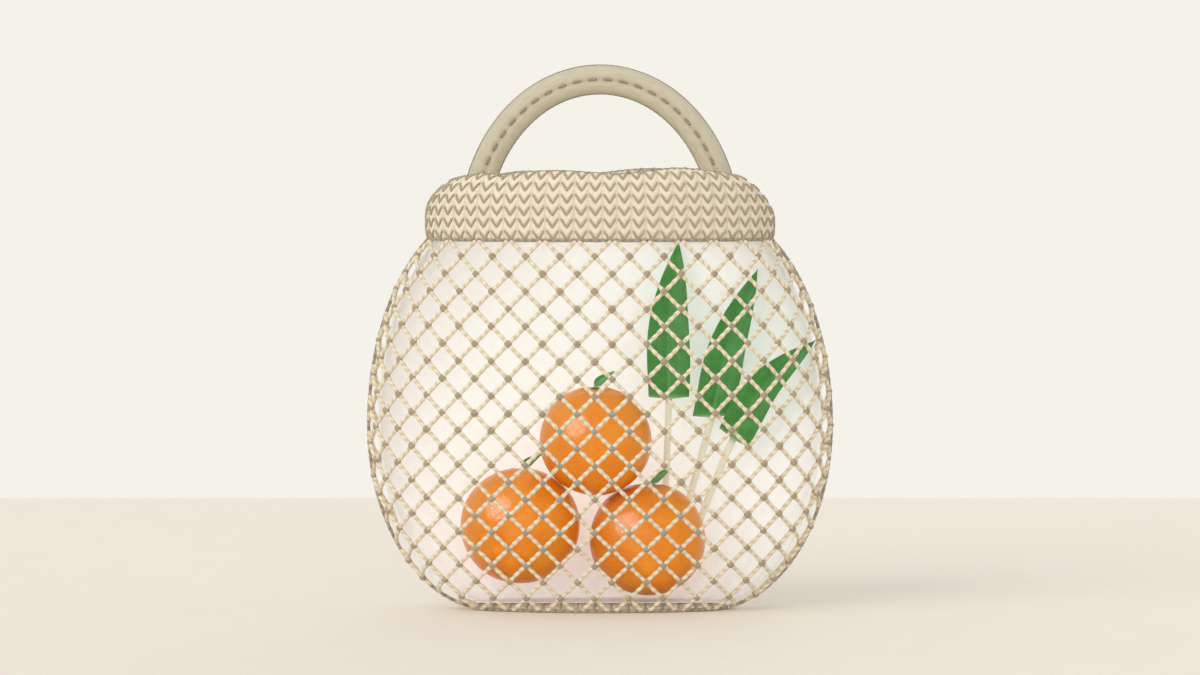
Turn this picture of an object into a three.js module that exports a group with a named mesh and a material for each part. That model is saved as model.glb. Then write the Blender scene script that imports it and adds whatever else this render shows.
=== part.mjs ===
// A crocheted market bag with a cloth back, standing on its base, with three oranges and three leaves in it.
// Millimetres, +Z up, the origin at the middle of the base, the front of the bag towards -Y.
import * as THREE from "three";

// Driving dimensions of the net body, which is oval in plan: half-axes along X (width) and Y (depth)
const BASE_HALF_WIDTH = 71.5;
const BASE_HALF_DEPTH = 25;
const BELLY_HALF_WIDTH = 151;
const BELLY_HALF_DEPTH = 70;
const NECK_HALF_DEPTH = 58;
const BELLY_HEIGHT = 120;
const DEEPEST_HEIGHT = 140;
const NECK_HEIGHT = 240.2;
const SHOULDER_RISE = 140.6;
const TROUGH_POWER = 1.5;
const NET_WALL = 2;
const JOINT_GAP = 0.3;
const TURNS = 44;
const LOWER_STEPS = 9;
const UPPER_STEPS = 6;

// The cloth that lines the back and the base of the net from inside
const LINING_OUTSIDE = 2.4;
const LINING_INSIDE = 3;
const LINING_BASE_STEPS = 3;

// The crocheted collar round the mouth. Quarter ellipses from start to end along X round off its corners
const COLLAR_BOTTOM = NECK_HEIGHT - JOINT_GAP;
const COLLAR_TOP = 284.6;
const COLLAR_HALF_WIDTH = 112.8;
const COLLAR_WIDTH_THICKNESS = 21.7;
const COLLAR_DEPTH_THICKNESS = 14;
const COLLAR_TOP_PLUMPNESS = 1.8;
const COLLAR_FOOT_PLUMPNESS = 5;
const LEFT_CORNER = { start: 82, end: 113 };
const RIGHT_CORNER = { start: 74, end: 107 };
const CORNER_HEIGHT = 42;
const COLLAR_SLANT = 0.02;
const WAVE_HEIGHT = 1.4;
const WAVE_LENGTH = 84;
const WAVE_CREST = 55;

// The handle, an arch of stuffed tube that is sewn to the inside of the collar
const HANDLE_HALF_SPAN = 81.9;
const HANDLE_FOOT = 245.7;
const HANDLE_RISE = 98.8;
const HANDLE_WIDTH = 18.2;
const HANDLE_DEPTH = 13;

// The oranges: stem is the way the stalk end faces, leaf the way the leaf points
const ORANGES = [
  {
    name: "orange_left",
    radius: 39,
    at: [-52, -0.8, 54.7],
    stem: [0.02, 0.3, 1],
    leaf: [1, 0.25, 0.55],
  },
  {
    name: "orange_right",
    radius: 38,
    at: [31, -0.5, 45.8],
    stem: [0.06, -0.1, 1],
    leaf: [1, -0.2, 0.6],
  },
  {
    name: "orange_upper",
    radius: 36.7,
    at: [-2.8, -8.5, 110.5],
    stem: [-0.02, -0.1, 1],
    leaf: [1, -0.2, 0.6],
  },
];
const ORANGE_FLATNESS = 0.975;
const STEM_DIMPLE = 1.6;
const STEM_DIMPLE_SPREAD = 0.3;
const FRUIT_LEAF = {
  length: 15.5,
  width: 6.4,
  stalk: 1.7,
  stalkShare: 0.22,
  tipTaper: 0.6,
  thickness: 0.9,
  arch: 1.6,
  curl: 0.8,
};

// The green leaves: foot of the stalk, middle of the blade's cut base, a point half way up, and the tip.
// The slant is how far the cut rises along the leaf for each millimetre to its right
const GREENS = [
  {
    name: "green_leaf_upright",
    width: 29,
    slant: 0.02,
    foot: [42.5, 37.9, 47.5],
    base: [45.5, 42, 136],
    middle: [45.5, 44, 185],
    tip: [52, 46.5, 238.5],
  },
  {
    name: "green_leaf_leaning",
    width: 27,
    slant: 0.28,
    foot: [54.2, 31, 52.8],
    base: [74, 36, 124],
    middle: [84, 37, 170],
    tip: [103.5, 30, 220.5],
  },
  {
    name: "green_leaf_low",
    width: 24.5,
    slant: -0.15,
    foot: [62.9, 23.7, 48.4],
    base: [88, 27, 110],
    middle: [106, 21, 143],
    tip: [140.2, 5, 175],
  },
];
const STALK_WIDTH = 4.4;
const STALK_THICKNESS = 3.4;
const BLADE_THICKNESS = 1.5;
const BLADE_BASE_SHARE = 0.92;
const BLADE_SWELL = 0.45;
const BLADE_TAPER = 2.2;
const BLADE_FOLD = 0.32;
const BLADE_RIPPLE = 1.1;
const BLADE_RIPPLES = 2.5;
const SLANT_SHARE = 0.6;

const COLOURS = {
  net: 0xe2d6bc,
  lining: 0xf7f4ed,
  collar: 0xe4d6bb,
  handle: 0xccc1a7,
  peel: 0xe78a2c,
  leaf: 0x51894c,
};

/** A material of one colour with no shine of its own. */
function matte(color, roughness) {
  return new THREE.MeshStandardMaterial({ color, roughness, metalness: 0 });
}

/** A named sub-part of the bag. */
function piece(name, geometry, material) {
  const mesh = new THREE.Mesh(geometry, material);
  mesh.name = name;
  return mesh;
}

/** Moves every vertex of a geometry to where place(vertex, its number) puts it. */
function warp(geometry, place) {
  const position = geometry.getAttribute("position");
  const vertex = new THREE.Vector3();
  for (let i = 0; i < position.count; i++) {
    place(vertex.fromBufferAttribute(position, i), i);
    position.setXYZ(i, vertex.x, vertex.y, vertex.z);
  }
  return geometry;
}

/** An oval solid whose rings have half-axes width and depth at a height. */
function ovalLathe(rings, turns) {
  const profile = rings.map((ring) => new THREE.Vector2(ring.width, ring.height));
  const geometry = new THREE.LatheGeometry(profile, turns).rotateX(Math.PI / 2);
  const position = geometry.getAttribute("position");
  for (let i = 0; i < position.count; i++) {
    const { width, depth } = rings[i % rings.length];
    if (width > 0) position.setY(i, (position.getY(i) * depth) / width);
  }
  return geometry;
}

/** How full the bag's width is at a height: 0 at the edge of the base and 1 at the belly. */
function fullness(height) {
  const reach = height < BELLY_HEIGHT ? BELLY_HEIGHT : SHOULDER_RISE;
  return Math.sqrt(1 - ((height - BELLY_HEIGHT) / reach) ** 2);
}

/** The outer half-axes of the net body at a height. */
function bagRing(height) {
  const width = BASE_HALF_WIDTH + (BELLY_HALF_WIDTH - BASE_HALF_WIDTH) * fullness(height);
  if (height < DEEPEST_HEIGHT) {
    const flare = 1 - (1 - height / DEEPEST_HEIGHT) ** TROUGH_POWER;
    return { width, depth: BASE_HALF_DEPTH + (BELLY_HALF_DEPTH - BASE_HALF_DEPTH) * flare, height };
  }
  const rise = (height - DEEPEST_HEIGHT) / (NECK_HEIGHT - DEEPEST_HEIGHT);
  const depth = BELLY_HALF_DEPTH + (NECK_HALF_DEPTH - BELLY_HALF_DEPTH) * rise ** 2;
  return { width, depth, height };
}

/** The heights of the bag's rings, from the base to the neck. */
function ringHeights() {
  const heights = [];
  for (let i = 0; i <= LOWER_STEPS; i++) {
    heights.push(BELLY_HEIGHT * (1 - Math.cos((i / LOWER_STEPS) * (Math.PI / 2))));
  }
  for (let i = 1; i <= UPPER_STEPS; i++) {
    heights.push(BELLY_HEIGHT + ((NECK_HEIGHT - BELLY_HEIGHT) * i) / UPPER_STEPS);
  }
  return heights;
}

/** The rings of a surface that lies an inset inside the net's outside, from its floor to the neck. */
function insetRings(inset) {
  const heights = [inset, ...ringHeights().filter((height) => height > LINING_INSIDE)];
  return heights.map(bagRing).map((ring) => ({
    width: ring.width - inset,
    depth: ring.depth - inset,
    height: ring.height + (inset - NET_WALL) * (1 - ring.height / NECK_HEIGHT),
  }));
}

/** The net body: a thin open shell, closed at the base and open at the neck. */
function netBody() {
  const rings = [
    { width: 0, depth: 0, height: 0 },
    ...ringHeights().map(bagRing),
    ...insetRings(NET_WALL).reverse(),
    { width: 0, depth: 0, height: NET_WALL },
  ];
  return piece("net_body", ovalLathe(rings, TURNS), matte(COLOURS.net, 0.95));
}

/** The height of the collar's soft upper edge at a place in the plan, as shares of its half-axes. */
function collarTop(sideways, forwards) {
  const x = sideways * (COLLAR_HALF_WIDTH - COLLAR_WIDTH_THICKNESS / 2);
  const wave = WAVE_HEIGHT * Math.cos((2 * Math.PI * (x - WAVE_CREST * forwards)) / WAVE_LENGTH);
  const { start, end } = x < 0 ? LEFT_CORNER : RIGHT_CORNER;
  const past = Math.max(0, Math.abs(x) - start) / (end - start);
  const corner = CORNER_HEIGHT * (1 - Math.sqrt(1 - past ** 2));
  return COLLAR_TOP + COLLAR_SLANT * x + wave - corner;
}

/** The collar: a plump ring whose upper edge waves and whose ends are rounded off. */
function collar() {
  const steps = 16;
  const halfHeight = (COLLAR_TOP - COLLAR_BOTTOM) / 2;
  const rings = [];
  for (let i = 0; i < steps; i++) {
    const angle = (2 * Math.PI * i) / steps - Math.PI / 2;
    const plumpness = Math.sin(angle) > 0 ? COLLAR_TOP_PLUMPNESS : COLLAR_FOOT_PLUMPNESS;
    const rounded = (value) => Math.sign(value) * Math.abs(value) ** (2 / plumpness);
    const out = (rounded(Math.cos(angle)) - 1) / 2;
    rings.push({
      width: COLLAR_HALF_WIDTH + COLLAR_WIDTH_THICKNESS * out,
      depth: NECK_HALF_DEPTH + COLLAR_DEPTH_THICKNESS * out,
      height: COLLAR_BOTTOM + halfHeight * (1 + rounded(Math.sin(angle))),
    });
  }
  rings.push(rings[0]);
  const geometry = warp(ovalLathe(rings, TURNS), (vertex, i) => {
    const ring = rings[i % rings.length];
    const share = (vertex.z - COLLAR_BOTTOM) / (COLLAR_TOP - COLLAR_BOTTOM);
    const top = collarTop(vertex.x / ring.width, -vertex.y / ring.depth);
    vertex.z = COLLAR_BOTTOM + share * (top - COLLAR_BOTTOM);
  });
  return piece("collar", geometry, matte(COLOURS.collar, 0.95));
}

/** The handle: half an ellipse of stuffed tube from one side of the mouth to the other. */
function handle() {
  const steps = 36;
  const points = [];
  for (let i = 0; i <= steps; i++) {
    const angle = (Math.PI * i) / steps;
    points.push(
      new THREE.Vector3(
        -HANDLE_HALF_SPAN * Math.cos(angle),
        0,
        HANDLE_FOOT + HANDLE_RISE * Math.sin(angle),
      ),
    );
  }
  const section = new THREE.Shape();
  section.absellipse(0, 0, HANDLE_DEPTH / 2, HANDLE_WIDTH / 2, 0, 2 * Math.PI);
  const geometry = new THREE.ExtrudeGeometry(section, {
    steps,
    curveSegments: 8,
    bevelEnabled: false,
    extrudePath: new THREE.CatmullRomCurve3(points),
  });
  return piece("handle", geometry, matte(COLOURS.handle, 0.8));
}

/** An orange: a slightly flat ball with a dimple at the stalk end. */
function orange({ name, radius, at, stem }) {
  const geometry = new THREE.SphereGeometry(radius, 24, 15).rotateX(Math.PI / 2);
  warp(geometry, (vertex) => {
    const fromStem = Math.acos(THREE.MathUtils.clamp(vertex.z / radius, -1, 1));
    const dimple = STEM_DIMPLE * Math.exp(-((fromStem / STEM_DIMPLE_SPREAD) ** 2));
    vertex.z = vertex.z * ORANGE_FLATNESS - dimple;
  });
  const mesh = piece(name, geometry, matte(COLOURS.peel, 0.5));
  const up = new THREE.Vector3(0, 0, 1);
  mesh.position.set(...at);
  mesh.quaternion.setFromUnitVectors(up, new THREE.Vector3(...stem).normalize());
  return mesh;
}

/**
 * A thin solid. place(side, u, v) gives the point of the front face (side 1) or the back face (side -1) at
 * u across, from -1 to 1, and v along, from 0 to 1. Both faces have the same grid of triangles.
 */
function thinSolid(across, along, place) {
  const grid = new THREE.PlaneGeometry(2, 1, across, along);
  const flat = grid.getAttribute("position");
  const vertices = [];
  for (const side of [1, -1]) {
    for (let i = 0; i < flat.count; i++) {
      vertices.push(...place(side, flat.getX(i), flat.getY(i) + 0.5).toArray());
    }
  }
  const front = [...grid.index.array];
  const triangles = [...front];
  for (let i = 0; i < front.length; i += 3) {
    triangles.push(front[i] + flat.count, front[i + 2] + flat.count, front[i + 1] + flat.count);
  }
  const row = across + 1;
  const rim = [];
  for (let i = 0; i < across; i++) rim.push(i);
  for (let j = 0; j < along; j++) rim.push(j * row + across);
  for (let i = across; i > 0; i--) rim.push(along * row + i);
  for (let j = along; j > 0; j--) rim.push(j * row);
  rim.forEach((a, i) => {
    const b = rim[(i + 1) % rim.length];
    triangles.push(a, b, a + flat.count, b, b + flat.count, a + flat.count);
  });
  const geometry = new THREE.BufferGeometry();
  geometry.setAttribute("position", new THREE.Float32BufferAttribute(vertices, 3));
  geometry.setIndex(triangles);
  return geometry;
}

/** The cloth inside the back of the net, from the middle of the base up to the neck. */
function backLining() {
  const across = TURNS / 2 - 2;
  const endAngle = (2 * Math.PI) / TURNS;
  const surfaces = new Map([
    [1, insetRings(LINING_INSIDE)],
    [-1, insetRings(LINING_OUTSIDE)],
  ]);
  const along = surfaces.get(1).length - 1 + LINING_BASE_STEPS;
  const geometry = thinSolid(across, along, (side, u, v) => {
    const step = Math.round(v * along) - LINING_BASE_STEPS;
    const ring = surfaces.get(side)[Math.max(0, step)];
    const onBase = Math.min(1, 1 + step / LINING_BASE_STEPS);
    const angle = Math.PI / 2 - u * (Math.PI / 2 - endAngle);
    return new THREE.Vector3(
      ring.width * Math.cos(angle),
      ring.depth * Math.sin(angle) * onBase,
      ring.height,
    );
  });
  return piece("back_lining", geometry, matte(COLOURS.lining, 0.9));
}

/**
 * A thin leaf along a path. The blade's half-width, thickness, lift and slant are functions of the share t
 * of the path, and some also of the place across, from -1 to 1.
 */
function leafSolid({ path, halfWidth, thickness, lift, slant, face, across, along }) {
  return thinSolid(across, along, (side, place, t) => {
    const tangent = path.getTangent(t);
    const sideways = new THREE.Vector3().crossVectors(tangent, face).normalize();
    const normal = new THREE.Vector3().crossVectors(sideways, tangent).normalize();
    const aside = place * halfWidth(t);
    return path
      .getPoint(t)
      .addScaledVector(sideways, aside)
      .addScaledVector(tangent, aside * slant(t))
      .addScaledVector(normal, lift(t, place) + (side * thickness(t, place)) / 2);
  });
}

/** The small leaf on an orange, with its short stalk standing on the stem dimple. */
function fruitLeaf({ name, radius, at, stem, leaf }) {
  const { length, width, stalk, stalkShare, tipTaper, arch, curl } = FRUIT_LEAF;
  const up = new THREE.Vector3(...stem).normalize();
  const away = new THREE.Vector3(...leaf).normalize();
  const dimpleFloor = radius * ORANGE_FLATNESS - STEM_DIMPLE;
  const foot = new THREE.Vector3(...at).addScaledVector(up, dimpleFloor + JOINT_GAP);
  const knee = foot.clone().addScaledVector(up, STEM_DIMPLE + arch);
  const tip = knee.clone().addScaledVector(away, length);
  const halfWidth = (t) => {
    const share = Math.max(0, (t - stalkShare) / (1 - stalkShare));
    const swell = (width - stalk) * Math.sin(Math.PI * share ** 0.8);
    return (stalk + swell) / 2 - tipTaper * share;
  };
  const geometry = leafSolid({
    path: new THREE.QuadraticBezierCurve3(foot, knee, tip),
    halfWidth,
    thickness: (t) => (t < stalkShare ? stalk : FRUIT_LEAF.thickness),
    lift: (t, place) => curl * place ** 2 * Math.sin(Math.PI * t),
    slant: () => 0,
    face: new THREE.Vector3(0, -1, 0.4),
    across: 4,
    along: 10,
  });
  return piece(`${name}_leaf`, geometry, matte(COLOURS.leaf, 0.55));
}

/** One long green leaf: a blade with a straight cut base on a slender stalk. */
function greenLeaf({ name, width, slant, foot, base, middle, tip }) {
  const { lerp, smoothstep } = THREE.MathUtils;
  const points = [foot, base, middle, tip].map((point) => new THREE.Vector3(...point));
  const bladeStart = 1 / (points.length - 1);
  const shoulder = 0.02;
  const bladeShare = (t) => Math.max(0, (t - bladeStart) / (1 - bladeStart));
  const halfWidth = (t) => {
    const share = bladeShare(t);
    const blade = (width / 2) * (1 - share ** BLADE_TAPER) * (BLADE_BASE_SHARE + BLADE_SWELL * share);
    const onto = smoothstep(t, bladeStart - shoulder, bladeStart + shoulder);
    return Math.max(0.4, lerp(STALK_WIDTH / 2, blade, onto));
  };
  const thickness = (t, place) => {
    const onto = smoothstep(t, bladeStart - 4 * shoulder, bladeStart + 4 * shoulder);
    const stalk = STALK_THICKNESS * (1 - 0.5 * place ** 2);
    const blade = BLADE_THICKNESS * (1 - 0.35 * Math.abs(place));
    return lerp(stalk, blade, onto);
  };
  const lift = (t, place) => {
    const share = bladeShare(t);
    const fold = BLADE_FOLD * halfWidth(t) * Math.abs(place);
    const ripple = BLADE_RIPPLE * Math.sin(2 * Math.PI * BLADE_RIPPLES * share + 2 * place) * place ** 2;
    return (fold + ripple) * smoothstep(share, 0, 0.15);
  };
  const slantAt = (t) => {
    const onBlade = smoothstep(t, bladeStart - 4 * shoulder, bladeStart - shoulder);
    return slant * onBlade * (1 - smoothstep(bladeShare(t), 0, SLANT_SHARE));
  };
  const geometry = leafSolid({
    path: new THREE.CatmullRomCurve3(points),
    halfWidth,
    thickness,
    lift,
    slant: slantAt,
    face: new THREE.Vector3(0, -1, 0),
    across: 6,
    along: 40,
  });
  return piece(name, geometry, matte(COLOURS.leaf, 0.55));
}

const bag = new THREE.Group();
bag.name = "market_bag";
bag.add(netBody(), backLining(), collar(), handle());
for (const fruit of ORANGES) bag.add(orange(fruit), fruitLeaf(fruit));
for (const green of GREENS) bag.add(greenLeaf(green));

export default bag;
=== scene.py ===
"""The crocheted market bag as it looks: yarn net, cloth back, stitched collar, handle, fruit and leaves.

Lengths are in millimetres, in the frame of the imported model: +Z up, the front of the bag towards -Y.
"""
import math

import bmesh
import bpy
import numpy as np
from mathutils import Matrix, Vector


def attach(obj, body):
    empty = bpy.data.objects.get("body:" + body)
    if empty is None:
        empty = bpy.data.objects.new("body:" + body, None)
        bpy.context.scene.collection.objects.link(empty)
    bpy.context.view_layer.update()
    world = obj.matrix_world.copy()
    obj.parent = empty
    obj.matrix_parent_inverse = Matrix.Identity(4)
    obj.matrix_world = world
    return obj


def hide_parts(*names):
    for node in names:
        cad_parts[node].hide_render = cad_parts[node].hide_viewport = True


MM = 0.001
TURN = 2 * math.pi
SEED = 11
UP = np.array((0.0, 0.0, 1.0))
FRONT = np.array((0.0, -1.0, 0.0))

# Counts of points: round a cord, on a quarter of an oval, and on a curve whose length is measured
CORD_SIDES = 8
QUARTER_STEPS = 120
FINE_STEPS = 2000

# The net body, which is oval in plan: half-axes along X (width) and Y (depth)
BASE_HALF_WIDTH = 71.5
BASE_HALF_DEPTH = 25.0
BELLY_HALF_WIDTH = 151.0
BELLY_HALF_DEPTH = 70.0
NECK_HALF_DEPTH = 58.0
BELLY_HEIGHT = 120.0
DEEPEST_HEIGHT = 140.0
NECK_HEIGHT = 240.2
SHOULDER_RISE = 140.6
TROUGH_POWER = 1.5
SLOPE_STEP = 0.5
OVAL_FACING = (1, 4, 0)

# The net: diamond meshes of crocheted chain, with a wound knot at each crossing
MESH_WIDTH = 22.1
FIRST_KNOT = (-3.4, 9.3)
BASE_NET_HEIGHT = 1.6
CORDS_ASIDE = 20
CORD_RADIUS = 1.3
CORD_INSET = 1.0
CORD_TUCK = 0.6
CORD_STEP = 0.9
CORD_LEAST_STEPS = 5
CORD_WOBBLE = 0.45
CHAIN_PITCH = 5.2
CHAIN_SLANT = 1.3
CHAIN_DEPTH = 0.13
KNOTS_ASIDE = 10
KNOT_RADIUS = 2.5
KNOT_HALF_HEIGHT = 2.0
KNOT_INSET = 0.8
KNOT_BACK = 1.45
KNOT_GRID = (7, 11)
KNOT_POLE = 0.12
KNOT_PLIES = 3
KNOT_SLANT = 4.5
KNOT_DEPTH = 0.07
KNOT_SIZES = (0.93, 1.06)
KNOT_ACROSS = (0.3, 0.2, 1.0)
KNOT_GRAIN = 0.8
KNOT_DYE_REACH = 40.0
FLOOR_GAP = 0.02
SEAM_RADIUS = 1.1
SEAM_SIDES = 10
SEAM_RINGS = 260
SEAM_RISE = 0.2
SEAM_INSET = 0.5
BASE_SEAM_RINGS = 360
BASE_SEAM_RISE = 0.1
BASE_SEAM_INSET = 0.6

# The cloth back, which bulges a little through the meshes and covers a share of the back's width
LINING_GRID = (130, 130)
LINING_SHARE = 10 / 11
LINING_INSET = 2.6
LINING_THICKNESS = 0.5
LINING_TOP_BAND = 30.0
LINING_FOLD = 6.0
LINING_BULGE = 0.7
LINING_HALF_SPAN = 1.1 * BELLY_HALF_WIDTH
HEM_WIDTH = 6.0
HEM_EDGE = 2.0

# The collar and its V stitches. A twist is the cord's pitch, its plies and the depth between them.
COLLAR_BOTTOM = 239.9
COLLAR_TOP = 284.6
COLLAR_HALF_WIDTH = 112.8
COLLAR_WIDTH_THICKNESS = 21.7
COLLAR_DEPTH_THICKNESS = 14.0
COLLAR_TOP_PLUMPNESS = 1.8
COLLAR_FOOT_PLUMPNESS = 5.0
LEFT_CORNER = (82.0, 113.0)
RIGHT_CORNER = (74.0, 107.0)
CORNER_HEIGHT = 42.0
COLLAR_SLANT = 0.02
WAVE_HEIGHT = 1.4
WAVE_LENGTH = 84.0
WAVE_CREST = 55.0
PLEAT_AT = -62.0
PLEAT_DEPTH = 1.6
PLEAT_HALF_WIDTH = 3.6
PLEAT_LOBE = 1.3
PLEAT_LOBE_AT = -76.0
PLEAT_LOBE_HALF_WIDTH = 9.0
PLEAT_FRONT = 0.5
COLLAR_TURNS = 600
COLLAR_STEPS = 96
COLLAR_RELIEF = 0.3
COLLAR_SINK = 0.4
COLUMN_GAP = 0.7
CALM_REACH = (7.0, 12.0)
STITCH_COLUMNS = 60
FIRST_COLUMN = -3.0
STITCH_ROW = 7.77
FIRST_ROW = 241.9
INNER_FOOT = 242.0
STITCH_HALF_WIDTH = 3.75
STITCH_HEIGHT = 5.9
STITCH_RADIUS = 0.7
STITCH_POINTS = 13
STITCH_SIDES = 6
STITCH_BEND = 0.006
STITCH_LIFT = 0.25
STITCH_SINK = 0.55
STITCH_SINK_FROM = 0.82
STITCH_THINNING = 0.45
STITCH_THIN_FROM = 0.85
STITCH_ROW_JITTER = 0.15
STITCH_COLUMN_JITTER = 0.2
STITCH_CLEARANCE = 10.0
STITCH_TWIST = (3.0, 2, 0.06)
EDGING_RADIUS = 0.9
EDGING_RINGS = 480
EDGING_TUCK = 0.8
EDGING_RISE = 1.4
EDGING_RIM_SINK = 0.4
EDGING_FIRST_STEP = 5

# The handle, an arch of stuffed tube with running stitch along its middle
HANDLE_HALF_SPAN = 81.9
HANDLE_FOOT = 245.7
HANDLE_RISE = 98.8
HANDLE_WIDTH = 18.2
HANDLE_DEPTH = 13.0
HANDLE_PLUMPNESS = 2.25
HANDLE_RINGS = 300
HANDLE_SIDES = 48
HANDLE_END = 4.0
HANDLE_TIP = 0.1414
HANDLE_SWAY = 0.008
SWAY_LENGTH = 11.0
LUMP_HEIGHT = 0.15
LUMP_LENGTH = 17.0
GROOVE_DEPTH = 0.9
GROOVE_HALF_WIDTH = 1.9
GROOVE_LEAST = 0.65
PUCKER_HEIGHT = 0.18
PUCKER_AT = 4.2
PUCKER_HALF_WIDTH = 1.8
# The relief that paints shade into the handle's cloth: its value off the groove, and how far it falls in the
# groove, where the colour darkens
UNSHADED_RELIEF = 0.6
PAINTED_GROOVE_SHADE = 1.5
DASH_PITCH = 10.0
DASH_LENGTH = 6.2
DASH_RADIUS = 0.95
DASH_POINTS = 11
DASH_PROUD = 0.55
DASH_DIP = 0.75
DASH_TIP = 0.12
DASH_END_SHARE = 0.14
DASH_FLATNESS = 0.85
DASH_TWIST = (4.0, 3, 0.07)
PIPING_RADIUS = 0.75
PIPING_RINGS = 260
PIPING_SINK = 0.1
PIPING_INNER_START = 0.02
PIPING_OUTER_START = 0.1
PIPING_TWIST = (3.5, 3, 0.08)
TACK_HEIGHTS = (247.5, 251.5, 255.5, 259.5)
TACK_FROM = (84.0, 6.0)
TACK_TO = (91.0, 9.0)
TACK_RISE = 2.0
TACK_BOW = 0.9
TACK_RADIUS = 0.8
TACK_POINTS = 9
TACK_TWIST = (3.0, 3, 0.08)

# The oranges: stem is the way the stalk end faces, leaf the way the leaf points
ORANGES = (
    {"name": "orange_left", "radius": 39.0, "at": (-52, -0.8, 54.7),
     "stem": (0.02, 0.3, 1), "leaf": (1, 0.25, 0.55)},
    {"name": "orange_right", "radius": 38.0, "at": (31, -0.5, 45.8),
     "stem": (0.06, -0.1, 1), "leaf": (1, -0.2, 0.6)},
    {"name": "orange_upper", "radius": 36.7, "at": (-2.8, -8.5, 110.5),
     "stem": (-0.02, -0.1, 1), "leaf": (1, -0.2, 0.6)},
)
ORANGE_FLATNESS = 0.975
ORANGE_GRID = (80, 120)
ORANGE_POLE = 0.015
STEM_DIMPLE = 1.6
STEM_DIMPLE_SPREAD = 0.3
STEM_TINT_SPREAD = 0.22
PEEL_LUMP = 0.28
PEEL_LUMPS = 7
PEEL_LUMP_WAVES = 3.2
PEEL_LUMP_SHIFT = 6.0
PEEL_LUMP_SHARE = 1 / 3
STEM_FURROW = 0.45
STEM_FURROWS = 9
STEM_FURROW_SWAY = 0.7
STEM_FURROW_SWAYS = 3
STEM_FURROW_AT = 0.24
STEM_FURROW_SPREAD = 0.13
CALYX_RADIUS = 3.0
CALYX_GRID = (12, 40)
CALYX_POLE = 0.1
CALYX_LOBES = 5
CALYX_LOBE = 0.26
CALYX_LIFT = 0.35
CALYX_HALF_HEIGHT = 0.55

# The small leaf on each orange
LEAFLET_GRID = (16, 40)
LEAFLET_FACE = (0, -1, 0.4)
LEAFLET_FOOT = 0.3
LEAFLET_LENGTH = 15.5
LEAFLET_WIDTH = 6.4
LEAFLET_SWELL = 0.8
LEAFLET_TAPER = 0.6
LEAFLET_THICKNESS = 0.9
LEAFLET_STALK = 1.7
LEAFLET_STALK_SHARE = 0.22
LEAFLET_SHOULDER = 0.06
LEAFLET_STALK_TINT = 0.35
LEAFLET_ARCH = 1.6
LEAFLET_CURL = 0.8
LEAFLET_RIB = 0.45
LEAFLET_RIB_RISE = (0.15, 0.3)
LEAFLET_STALK_FADE = (0.1, 0.3)
LEAFLET_STALK_THINNING = 0.5
LEAFLET_THINNING = 0.4

# The green leaves, through the stalk's foot, the cut base, half way up and the tip, with the cut's slant
GREENS = (
    {"name": "green_leaf_upright", "width": 29.0, "slant": 0.02,
     "through": ((42.5, 37.9, 47.5), (45.5, 42, 136), (45.5, 44, 185), (52, 46.5, 238.5))},
    {"name": "green_leaf_leaning", "width": 27.0, "slant": 0.28,
     "through": ((54.2, 31, 52.8), (74, 36, 124), (84, 37, 170), (103.5, 30, 220.5))},
    {"name": "green_leaf_low", "width": 24.5, "slant": -0.15,
     "through": ((62.9, 23.7, 48.4), (88, 27, 110), (106, 21, 143), (140.2, 5, 175))},
)
LEAF_STEP = 0.001
BLADE_GRID = (36, 180)
STALK_WIDTH = 4.4
STALK_THICKNESS = 3.4
STALK_FLATNESS = 0.96
STALK_JOIN = (-0.05, 0.05)
STALK_FADE = (-0.03, 0.012)
BLADE_THICKNESS = 1.5
BLADE_THINNING = 0.5
BLADE_BASE_SHARE = 0.92
BLADE_SWELL = 0.45
BLADE_TAPER = 2.2
BLADE_TIP = 0.4
BLADE_FOLD = 0.32
BLADE_FLAT_SHARE = 0.15
BLADE_KEEL = 0.004
BLADE_RIPPLE = 1.1
BLADE_RIPPLES = 2.5
BLADE_RIB = 0.9
BLADE_RIB_RISE = (0.3, 0.36)
SLANT_SHARE = 0.6
SHOULDER = 0.004
VEIN_PITCH = 2.1
VEIN_DEPTH = 0.12

# Colours, as red, green and blue from 0 to 255
COLOURS = {
    # A yarn's _shade colour is both painted shade, between its stitches and plies, and the dark end of its
    # fibres and dye
    "net": (216, 205, 180),
    "net_shade": (185, 168, 134),
    "knot": (166, 152, 128),
    "knot_shade": (128, 113, 88),
    "edging": (155, 144, 123),
    "edging_shade": (117, 105, 85),
    "lining": (240, 242, 242),
    "lining_shade": (235, 237, 236),
    "collar": (213, 201, 179),
    "collar_shade": (196, 183, 156),
    "stitch": (170, 157, 126),
    "stitch_shade": (134, 120, 89),
    # handle_shade is both painted shade along the handle's groove and the darker threads of its weave
    "handle": (187, 178, 155),
    "handle_shade": (162, 151, 125),
    "dash": (148, 139, 115),
    "dash_shade": (115, 105, 81),
    "peel": (219, 126, 18),
    "peel_light": (225, 140, 32),
    # Painted shade in the pits of the peel's pores
    "peel_pore_painted_shade": (200, 104, 11),
    "calyx": (105, 121, 58),
    "calyx_shade": (79, 87, 41),
    "leaf": (69, 137, 65),
    "leaf_light": (100, 156, 89),
    "leaf_shade": (57, 119, 55),
    "stalk": (214, 217, 195),
    "floor": (227, 220, 207),
    "wall": (245, 242, 234),
}
SHEEN_ROUGHNESS = 0.6
COAT_ROUGHNESS = 0.16
FLOOR_SPECKLE = 0.97

# The picture: its width at the bag, the camera's distance and height of aim, and the floor's back edge
PICTURE_WIDTH = 780.0
CAMERA_DISTANCE = 2500.0
CAMERA_AIM = 177.1
CAMERA_ELEVATION = math.radians(2.5)
SENSOR_WIDTH = 36.0
FLOOR_BACK = 845.0
FLOOR_REACH = 4000.0

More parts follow.
